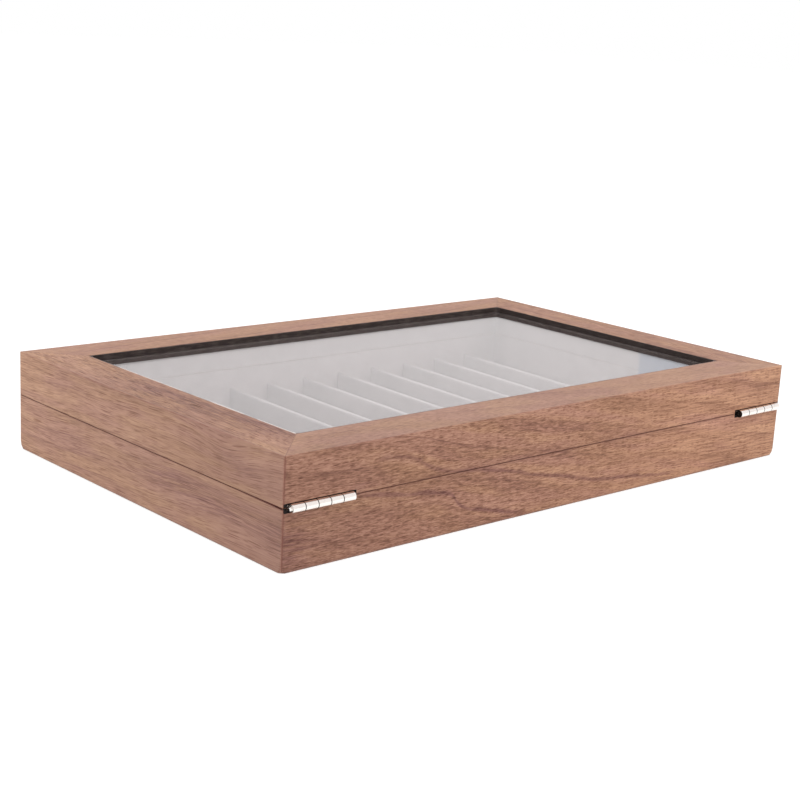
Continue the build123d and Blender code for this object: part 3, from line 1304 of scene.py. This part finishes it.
@dataclass
class SuedeFittings:
    """Suede-covered boards: linings of both bodies, the padded floor and the dividers."""

    lining: bpy.types.Material
    floor: bpy.types.Material
    divider: bpy.types.Material
    fold_radius: float = 0.38 * MM
    lining_crown: float = 0.12 * MM
    floor_crown: float = 0.45 * MM
    divider_fall: float = 2.4 * MM
    divider_count: int = 11
    # Where the painted highlight on the dividers' tops starts, and over what length it comes in
    rub_start: float = 3 * MM
    rub_length: float = 14 * MM
    # How far from the front end the dividers' faces are painted lighter
    fade_length: float = 13 * MM
    wave_depth: float = 0.03
    wave_length: float = 17 * MM
    wave_shift: float = 5 * MM

    def build(self) -> None:
        """Build every board."""
        for body in Body:
            for side in Side:
                self.build_lining(body, side)
        self.build_floor()
        for number in range(1, self.divider_count + 1):
            self.build_divider(f"divider_{number:02d}")

    def build_lining(self, body: Body, side: Side) -> None:
        """A lining board, mitred at both ends and a little full on the face that shows.

        A point's place along the board is its station, held back by its depth from the wall, which gives
        the mitre. The inner face is lifted by the crown times one less the fourth powers of both shares.

        Args:
            body: base or lid.
            side: the wall that the board lies on.
        """
        node = f"{body.value}_{side.label}_lining"
        size, middle = extent(node)
        thick, length = (size.y, size.x) if side.along_x else (size.x, size.y)
        section = rounded_section(thick, size.z, self.fold_radius, self.fold_radius)
        places, insets = rounded_ends(length, self.fold_radius, steps=4, middles=40)
        depth, up = section.rings(insets)
        along = places[:, None] * (1 - 2 * (depth + thick / 2) / length)
        full = (1 - (2 * along / length) ** 4) * (1 - (2 * up / size.z) ** 4)
        depth = depth + self.lining_crown * full * np.clip(2 * depth / thick, 0.0, 1.0)
        points = np.array(middle) + along[..., None] * np.array(side.along)
        points = points + depth[..., None] * np.array(side.inward) + up[..., None] * np.array(UPWARD)
        mesh = closed_mesh(f"{body.value}_{side.label}_suede", [points])
        add_piece(mesh, body, Slot.SUEDE, self.lining, node)

    def build_floor(self) -> None:
        """The padded floor, full between the dividers and pressed flat under them and at the walls.

        The top is lifted by the crown times the squared sine of the place between two dividers, and by one
        less a high power of the place between the front and the back.
        """
        size, middle = extent("floor_pad")
        inner_front, inner_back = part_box("base_front_lining")[1].y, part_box("base_back_lining")[0].y
        clear = 2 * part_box("base_right_lining")[0].x
        stands = [extent(f"divider_{n:02d}")[1].x for n in range(1, self.divider_count + 1)]
        edges = np.array([-clear / 2, *stands, clear / 2])
        section = rounded_section(size.y, size.z, self.fold_radius, self.fold_radius, flats=48)
        places, insets = rounded_ends(size.x, self.fold_radius, steps=4, middles=168)
        across, up = section.rings(insets)
        number = np.interp(places, edges, np.arange(len(edges)))
        slot = np.where(np.abs(places) < clear / 2, np.sin(math.pi * number) ** 2, 0.0)
        reach = np.abs(2 * (across - (inner_front + inner_back) / 2) / (inner_back - inner_front))
        lift = self.floor_crown * slot[:, None] * (1 - np.clip(reach, 0.0, 1.0) ** 8) * (up > 0)
        x, y, z = middle
        points = np.stack(np.broadcast_arrays(x + places[:, None], y + across, z + up + lift), -1)
        pad = add_piece(closed_mesh("floor_suede", [points]), Body.BASE, Slot.SUEDE, self.floor, "floor_pad")

    def build_divider(self, node: str) -> None:
        """A divider: a stiff board whose suede is turned over the top in a full round.

        Its section runs from front to back and its top falls evenly by the divider fall. Its faces are a
        little hollow and full by a slow wave, which each divider has at another place. The top round gets a
        painted highlight, which comes in behind the front end that lies in the lid rail's shadow, and the
        faces are painted lighter towards that end, easing their painted shade into the front lining's tone.

        Args:
            node: the CAD node that it stands for.
        """
        size, middle = extent(node)
        section = rounded_section(size.x, size.z, self.fold_radius, size.x / 2, steps=6)
        places, insets = rounded_ends(size.y, self.fold_radius, steps=3, middles=36)
        across, up = section.rings(insets)
        phase = places / self.wave_length + middle.x / self.wave_shift
        wave = 1 - self.wave_depth * (1 + np.sin(phase))[:, None]
        top = size.z / 2 - size.x / 2
        fall = self.divider_fall * (0.5 + places / size.y)[:, None]
        lowered = up - fall * np.clip((up + size.z / 2) / (top + size.z / 2), 0.0, 1.0)
        x, y, z = middle
        points = np.stack(np.broadcast_arrays(x + across * wave, y + places[:, None], z + lowered), -1)
        mesh = closed_mesh(f"{node}_suede", [points])
        behind = (places + size.y / 2)[:, None]
        # Painted highlight on the top round, which comes in behind the front end that lies in the lid rail's
        # shadow
        wear_and_highlight = np.clip((behind - self.rub_start) / self.rub_length, 0.0, 1.0)
        rubbed = wear_and_highlight * np.clip((up - top) / (0.7 * size.x / 2), 0.0, 1.0)
        # Faces painted lighter near the front end, easing the dividers' painted shade into the front
        # lining's tone
        faded = np.clip(1 - behind / self.fade_length, 0.0, 1.0) * np.ones_like(up)
        poles = np.zeros(len(mesh.vertices) - rubbed.size)
        for name, values in ((TOP_HIGHLIGHT, rubbed), (FRONT_LIGHTENING, faded)):
            shade = mesh.attributes.new(name, "FLOAT", "POINT")
            shade.data.foreach_set("value", np.concatenate([values.ravel(), poles]))
        add_piece(mesh, Body.BASE, Slot.SUEDE, self.divider, node)


@dataclass
class ButtHinge:
    """One hinge: two leaves with rolled knuckles, a pin and four cross-head screws."""

    hand: Hand
    plate: bpy.types.Material
    rod: bpy.types.Material
    screw: bpy.types.Material
    edge_radius: float = 0.14 * MM
    edge_angle: float = math.radians(30)
    dome: float = 0.35
    core: float = 0.53
    cone: float = 0.47
    thread_pitch: float = 0.8 * MM
    thread_depth: float = 0.14 * MM
    cross_width: float = 0.5 * MM
    cross_reach: float = 1.05 * MM
    cross_depth: float = 0.5 * MM
    columns: int = 48
    head_rings: int = 18
    shank_rings: int = 44

    def build(self) -> None:
        """Build the leaves, the pin and the screws."""
        for body in Body:
            self.build_leaf(body)
            self.build_screws(body)
        self.build_pin()

    def build_leaf(self, body: Body) -> None:
        """A leaf as the CAD has it, with its edges eased as plating leaves them.

        Args:
            body: the body whose leaf it is.
        """
        node = f"{self.hand.value}_hinge_{body.value}_leaf"
        mesh = merged_copy(node, f"{self.hand.value}_{body.value}_leaf_plated")
        mesh.shade_smooth()
        mesh.set_sharp_from_angle(angle=self.edge_angle)
        leaf = add_piece(mesh, body, Slot.HINGE, self.plate, node)
        eased = leaf.modifiers.new("eased edges", "BEVEL")
        eased.width = self.edge_radius
        eased.segments = 2
        eased.limit_method = "ANGLE"
        eased.angle_limit = self.edge_angle
        eased.harden_normals = True

    def build_pin(self) -> None:
        """The pin: a rod whose two ends are peened to low domes, each a share of an ellipse."""
        node = f"{self.hand.value}_hinge_pin"
        size, middle = extent(node)
        radius = size.z / 2
        angle = np.linspace(0.06, math.pi / 2, 8)
        end = np.stack([radius * np.sin(angle), self.dome * radius * (1 - np.cos(angle))], 1)
        other = np.stack([end[::-1, 0], size.x - end[::-1, 1]], 1)
        rings = turned_rings(np.concatenate([end, other]), middle - size.x / 2 * ALONG_X, ALONG_X, 40)
        mesh = closed_mesh(f"{self.hand.value}_hinge_pin_peened", [rings])
        add_piece(mesh, Body.BASE, Slot.HINGE, self.rod, node)

    def build_screws(self, body: Body) -> None:
        """The two screws of one leaf, with a cross recess in the head and a thread on the shank.

        The head's face sinks by the depth where a point is within half the arm's width of either arm. The
        shank's radius is lessened by a rounded saw of the turn and the distance, which is the thread.

        Args:
            body: the body that the screws are driven into.
        """
        node = f"{self.hand.value}_hinge_{body.value}_screws"
        low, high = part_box(node)
        size, middle = extent(node)
        radius, length = size.y / 2, size.z
        inward, face = (-1.0, high.z) if body is Body.BASE else (1.0, low.z)
        cone, core = self.cone * radius, self.core * radius
        head = np.stack([np.linspace(0.04, 0.97, self.head_rings) * radius, np.zeros(self.head_rings)], 1)
        rim = [(radius, 0.03 * radius), (radius * 0.99, 0.06 * radius)]
        under = np.array([*rim, (core, cone), (core, cone * 1.3)])
        run = np.linspace(cone * 1.4, length * 0.86, self.shank_rings)
        shank = np.stack([np.full(self.shank_rings, core), run], 1)
        tip = np.array([(core * 0.55, length * 0.95), (core * 0.12, length)])
        profile = np.concatenate([head, under, shank, tip])
        threaded = slice(len(head) + len(under), len(head) + len(under) + len(shank))
        turn = np.arange(self.columns) / self.columns
        phase = (run[:, None] / self.thread_pitch + turn) % 1.0
        lessened = (1 - self.thread_depth / core * np.abs(2 * phase - 1))[..., None]
        shells = []
        for x in (low.x + radius, high.x - radius):
            start = Vector((x, middle.y, face))
            rings = turned_rings(profile, start, inward * UPWARD, self.columns)
            flat = rings[: len(head)] - np.array(start)
            x_away, y_away = flat[..., 0], flat[..., 1]
            arm = np.minimum(np.abs(x_away + y_away), np.abs(x_away - y_away)) / math.sqrt(2)
            out = np.linalg.norm(flat[..., :2], axis=-1)
            sunk = np.clip((self.cross_width / 2 - arm) / (0.3 * self.cross_width), 0, 1)
            sunk = sunk * np.clip((self.cross_reach - out) / (0.35 * self.cross_reach), 0, 1)
            rings[: len(head), :, 2] += inward * self.cross_depth * sunk
            centre = np.array((start.x, start.y))
            rings[threaded, :, :2] = centre + (rings[threaded, :, :2] - centre) * lessened
            shells.append(rings)
        mesh = closed_mesh(f"{self.hand.value}_{body.value}_screws_driven", shells, crease=50.0)
        add_piece(mesh, body, Slot.SCREW, self.screw, node)


@dataclass
class MagnetCatch:
    """Pairs of disc magnets in the front seam faces, with rounded rims."""

    plate: bpy.types.Material
    rim: float = 0.3 * MM
    centre: float = 0.1
    columns: int = 48

    def build(self) -> None:
        """Build the discs of both bodies: turned pieces whose rims follow quarter circles."""
        for body in Body:
            node = f"{body.value}_magnets"
            low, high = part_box(node)
            size, middle = extent(node)
            radius, thick = size.y / 2, size.z
            angle = np.linspace(0.0, math.pi / 2, 6)
            edge = np.stack([radius - self.rim * (1 - np.sin(angle)), self.rim * (1 - np.cos(angle))], 1)
            half = np.concatenate([[(self.centre * radius, 0.0)], edge])
            profile = np.concatenate([half, np.stack([half[::-1, 0], thick - half[::-1, 1]], 1)])
            shells = [
                turned_rings(profile, Vector((x, middle.y, low.z)), UPWARD, self.columns)
                for x in (low.x + radius, high.x - radius)
            ]
            mesh = closed_mesh(f"{body.value}_magnets_plated", shells)
            add_piece(mesh, body, Slot.MAGNET, self.plate, node)


@dataclass
class Studio:
    """White studio: a pale floor, an even white surround, soft lamps, and the photograph's camera."""

    camera_place: Vector
    camera_right: Vector
    camera_down: Vector
    lens: float
    floor_size: float = 12.0
    floor_albedo: float = 0.45
    floor_glow: float = 0.72
    surround: float = 0.80
    mirrored: Colour = (1.0, 0.965, 0.968)
    screen: Colour = (0.80, 0.83, 0.90)
    screen_fade: tuple[float, float] = (-1.9, -1.3)
    screen_edge: tuple[float, float] = (-0.8890, -0.8865)

    def build(self) -> None:
        """Build the floor, the surround, the lamps and the camera."""
        self.build_floor()
        self.build_surround()
        self.build_lamps()
        self.build_camera()

    def build_floor(self) -> None:
        """A flat white floor that keeps the case's shadow and shows white elsewhere."""
        corners = np.array([(-1, -1, 0), (1, -1, 0), (1, 1, 0), (-1, 1, 0)]) * self.floor_size / 2
        mesh = bpy.data.meshes.new("studio_floor")
        mesh.from_pydata(corners.tolist(), [], [(0, 1, 2, 3)])
        floor = add_object("studio_floor", mesh)
        material, graph, shader = Finish("studio floor").start()
        matt = {"Base Color": (self.floor_albedo,) * 3, "Roughness": 0.9, "Specular IOR Level": 0.0}
        graph.fill(shader, matt)
        seen = graph.most(*self.paths(graph))
        glow = graph.add("Emission", {"Color": WHITE, "Strength": seen * self.floor_glow})
        both = graph.add("AddShader", {0: Signal(graph, shader.outputs[0]), 1: glow})
        graph.fill(material.node_tree.nodes["Material Output"], {"Surface": both})
        mesh.materials.append(material)

    @staticmethod
    def paths(graph: Graph) -> tuple[Signal, Signal]:
        """What is 1 for rays from the camera, and what is 1 for rays off gloss or through glass."""
        path = graph.outputs("LightPath")
        return path["Is Camera Ray"], graph.most(path["Is Glossy Ray"], path["Is Transmission Ray"])

    def build_surround(self) -> None:
        """The world: even light, plain white to the camera, and a warm white in reflections.

        Reflections also show a grey-blue screen before the front and to its left. The direction's turn round
        Z, counted from the front and positive to the right, lies there between the fade and the edge.
        """
        world = bpy.data.worlds.new("studio surround")
        world.use_nodes = True
        world.node_tree.nodes.clear()
        graph = Graph(world.node_tree)
        x, y, _ = graph.add("TexCoord", output="Generated").parts()
        turn = graph.math("ARCTAN2", x, y * -1.0)
        shown = turn.smooth(*self.screen_edge, 1.0, 0.0) * turn.smooth(*self.screen_fade)
        shown = shown * y.smooth(0.05, -0.05)
        light, mirror, plain = (
            graph.add("Background", {"Color": colour, "Strength": strength})
            for colour, strength in (
                (WHITE, self.surround),
                (graph.mixed(shown, self.mirrored, self.screen), 1.0),
                (WHITE, 1.0),
            )
        )
        camera, sharp = self.paths(graph)
        indirect = graph.add("MixShader", {0: sharp, 1: light, 2: mirror})
        graph.node("OutputWorld", {"Surface": graph.add("MixShader", {0: camera, 1: indirect, 2: plain})})
        bpy.context.scene.world = world

    def build_lamps(self) -> None:
        """Three large soft lamps: one above, and one before each side that the camera sees."""
        for name, place, aim, size, power in (
            ("lamp_above", Vector((0.0, 0.0, 1.6)), Vector((0.0, 0.0, 0.0)), 1.6, 6.0),
            ("lamp_back", Vector((0.1, 1.7, 0.45)), Vector((0.0, 0.0, 0.03)), 1.4, 13.0),
            ("lamp_end", Vector((1.8, 0.1, 0.45)), Vector((0.0, 0.0, 0.03)), 1.4, 13.5),
        ):
            data = bpy.data.lights.new(name, "AREA")
            data.size, data.energy = size, power
            lamp = add_object(name, data)
            lamp.location = place
            lamp.rotation_euler = (aim - place).to_track_quat("-Z", "Y").to_euler()
            lamp.visible_glossy = False
            lamp.visible_transmission = False

    def build_camera(self) -> None:
        """The photograph's camera, from its own right and down directions."""
        data = bpy.data.cameras.new("photo_camera")
        data.lens, data.sensor_width = self.lens, 36.0
        data.clip_start, data.clip_end = 0.02, 50.0
        camera = add_object("photo_camera", data)
        right = self.camera_right.normalized()
        up = -(self.camera_down - self.camera_down.dot(right) * right).normalized()
        turned = Matrix((right, up, right.cross(up))).transposed()
        camera.matrix_world = Matrix.Translation(self.camera_place) @ turned.to_4x4()
        bpy.context.scene.camera = camera


# Each swell and stain gives its place along and up the board, its reach along and up, and its lift
CUTS = {
    Side.FRONT: BoardCut(
        seed=(83.0, 58.1, 107.9),
        slope=-0.09,
        wander=4.0,
        ring_pitch=12.0,
        pore_length=7.0,
        contrast=0.75,
        inner_contrast=0.5,
        inner_tint=(0.96, 0.93, 0.87),
    ),
    Side.RIGHT: BoardCut(
        seed=(47.0, 32.9, 61.1),
        slope=-0.050,
        wander=5.0,
        ring_pitch=7.0,
        pore_length=12.0,
        long_lines=0.4,
        figure=0.5,
        pore_depth=1.15,
        contrast=0.60,
        inner_contrast=0.90,
        drift=-0.0013,
        inner_drift=-0.0007,
        tint=(0.955, 0.975, 0.955),
        inner_tint=(0.905, 0.87, 0.785),
        swells=((66.0, 38.0, 24.0, 10.0, 5.0), (60.0, 15.0, 45.0, 6.0, -2.5)),
        stains=(
            (58.0, 17.0, 34.0, 5.0, 1.4),
            (100.0, 12.0, 16.0, 14.0, 0.8),
            (74.0, 36.0, 26.0, 4.5, 0.9),
            (20.0, 18.0, 26.0, 5.0, 0.9),
            (-45.0, 14.0, 40.0, 5.0, 0.5),
            (10.0, 46.0, 90.0, 3.0, 0.5),
            (5.0, 60.0, 45.0, 7.0, 1.3),
            (62.0, 67.0, 32.0, 6.0, 1.4),
            (90.0, 40.0, 16.0, 7.0, -0.6),
            (-98.0, 52.0, 20.0, 16.0, -0.7),
        ),
    ),
    Side.BACK: BoardCut(
        seed=(12.0, 8.4, 15.6),
        slope=0.177,
        wander=2.0,
        ring_pitch=13.0,
        pore_length=4.2,
        fibre_follow=0.12,
        long_lines=0.8,
        figure=0.5,
        inner_contrast=0.55,
        drift=0.0012,
        inner_drift=0.0005,
        tint=(0.98, 0.92, 0.84),
        inner_tint=(0.93, 0.92, 0.88),
        corner=0.5,
        swells=(
            (-100.0, 38.0, 27.0, 12.0, -4.6),
            (5.0, 12.0, 34.0, 12.0, 2.8),
            (75.0, 5.0, 24.0, 9.0, -2.0),
            (-73.0, 19.0, 13.0, 6.0, -3.4),
            (-43.0, 5.0, 20.0, 8.0, 4.6),
        ),
        stains=(
            (-140.0, 8.0, 40.0, 9.0, 0.4),
            (-152.0, 12.0, 12.0, 14.0, 1.2),
            (-15.0, 26.0, 60.0, 6.0, 0.4),
            (92.0, 30.0, 36.0, 26.0, -0.75),
            (-150.0, 60.0, 24.0, 12.0, -1.1),
            (-96.0, 24.5, 26.0, 3.5, 0.5),
            (-116.0, 29.0, 6.0, 3.0, 0.8),
        ),
        lines=(
            GrowthLine(
                ((-122.0, 25.0), (-110.0, 24.0), (-100.0, 22.5), (-90.0, 21.0), (-75.0, 19.0), (-68.0, 17.0))
                + ((-65.0, 13.5), (-62.0, 11.0), (-57.0, 9.0), (-45.0, 6.5), (-35.0, 4.0), (-20.0, 1.0))
            ),
            GrowthLine(
                ((-62.0, 26.5), (-48.0, 24.5), (-35.0, 22.0), (-20.0, 18.0), (0.0, 14.0))
                + ((12.0, 11.0), (22.0, 9.0), (40.0, 7.3), (60.0, 5.0), (85.0, 3.0))
            ),
            GrowthLine(
                ((-112.0, 38.5), (-97.0, 37.5), (-88.0, 35.0), (-79.0, 30.0), (-70.0, 27.5), (-52.0, 26.0)),
                width=1.1,
                strength=1.0,
            ),
        ),
    ),
    Side.LEFT: BoardCut(
        seed=(129.0, 90.3, 167.7),
        slope=0.05,
        wander=4.5,
        ring_pitch=9.0,
        pore_length=9.0,
        figure=0.7,
        contrast=0.75,
        inner_contrast=0.8,
        inner_tint=(0.90, 0.84, 0.75),
    ),
}
UNDERSIDE = BoardCut(
    seed=(205.0, 205.0, 205.0),
    slope=0.03,
    wander=5.0,
    ring_pitch=8.0,
    pore_length=6.0,
    figure=0.5,
    pore_depth=0.6,
    contrast=0.38,
    inner_contrast=0.38,
)


def lacquered_strips() -> tuple[dict[Side, bpy.types.Material], bpy.types.Material]:
    """Build the black strips' materials.

    Returns:
        The liners' materials by side, and the beads' material.
    """
    black, pale = (0.030, 0.021, 0.019), (0.050, 0.037, 0.034)
    wear_and_highlight = {Side.FRONT: (0.082, 0.062, 0.056)}
    # Arris colours: a painted highlight on the right liner's top edge, walnut brown on the back liner's
    edges = {Side.RIGHT: (0.84, 0.72, 0.66), Side.BACK: (0.30, 0.18, 0.14)}
    arris_depth, bead_highlight_depth, arris_width, arris_from = 0.1 * MM, 0.5 * MM, 0.35 * MM, -56 * MM
    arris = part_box("window_front_liner")[1].z - arris_depth
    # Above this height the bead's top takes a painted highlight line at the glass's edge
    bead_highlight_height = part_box("glazing_front_bead")[1].z - bead_highlight_depth
    outer = (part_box("window_right_liner")[1].x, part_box("window_back_liner")[1].y)
    reach = (outer[0] - arris_width, outer[1] - arris_width)
    liners = {}
    for side in Side:
        shades = (black, wear_and_highlight.get(side, pale), edges.get(side, black))
        liner = BlackLacquer(f"black liner {side.label}", *shades, arris, reach, arris_from)
        liners[side] = liner.material()
    # The bead's grey shades, the last of them its painted highlight line
    shades = ((0.135, 0.108, 0.103), (0.17, 0.14, 0.135), (0.24, 0.21, 0.20))
    return liners, BlackLacquer("bead lacquer", *shades, bead_highlight_height, (1.0, 1.0)).material()


def main() -> None:
    """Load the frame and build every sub-assembly in order."""
    logging.basicConfig(level=logging.INFO, format="%(name)s %(message)s")
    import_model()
    bpy.context.scene.view_settings.view_transform = "Standard"
    form = CaseForm.from_frame()
    boards = {side: Walnut(f"walnut {side.label}", side, CUTS[side], form).material() for side in Side}
    Carcass(boards, VeneerBoard("veneered board", UNDERSIDE).material()).build()
    liners, bead = lacquered_strips()
    GlazedLid(boards, liners, bead, PaneGlass("pane glass").material()).build()
    grey = Suede("grey suede", (0.385, 0.325, 0.325), (0.49, 0.425, 0.425))
    # Floor and divider suede are darker copies of the lining suede: painted shade of the compartments; the
    # divider's third shade is its painted top highlight
    pad = Suede("grey suede floor", (0.32, 0.285, 0.285), (0.41, 0.365, 0.365), patch=14.0)
    shades = ((0.325, 0.285, 0.285), (0.42, 0.37, 0.37), (0.56, 0.52, 0.52))
    edge = Suede("grey suede divider", *shades, patch=6.0)
    SuedeFittings(grey.material(), pad.material(), edge.material()).build()
    end_margin = 1.0 * MM
    knuckle_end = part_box("right_hinge_base_leaf")[1].x - end_margin
    nickel, rod, steel, catch = (
        Plating(*values).material()
        for values in (
            ("hinge nickel", (0.91, 0.865, 0.82), (0.74, 0.69, 0.65), 0.3, 0.12, 1.0, knuckle_end),
            ("pin nickel", (0.88, 0.85, 0.82), (0.66, 0.63, 0.60), 0.3, 0.10, 1.0),
            ("screw nickel", (0.80, 0.78, 0.76), (0.50, 0.48, 0.46), 0.6, 0.18),
            ("magnet nickel", (0.74, 0.73, 0.72), (0.52, 0.51, 0.50), 0.7, 0.22),
        )
    )
    for hand in Hand:
        ButtHinge(hand, nickel, rod, steel).build()
    MagnetCatch(catch).build()
    Studio(
        camera_place=Vector((0.4961, 0.5397, 0.2091)),
        camera_right=Vector((-0.74964, 0.65985, 0.05133)),
        camera_down=Vector((0.12326, 0.21539, -0.96872)),
        lens=70.64,
    ).build()


if __name__ == "__main__":
    main()
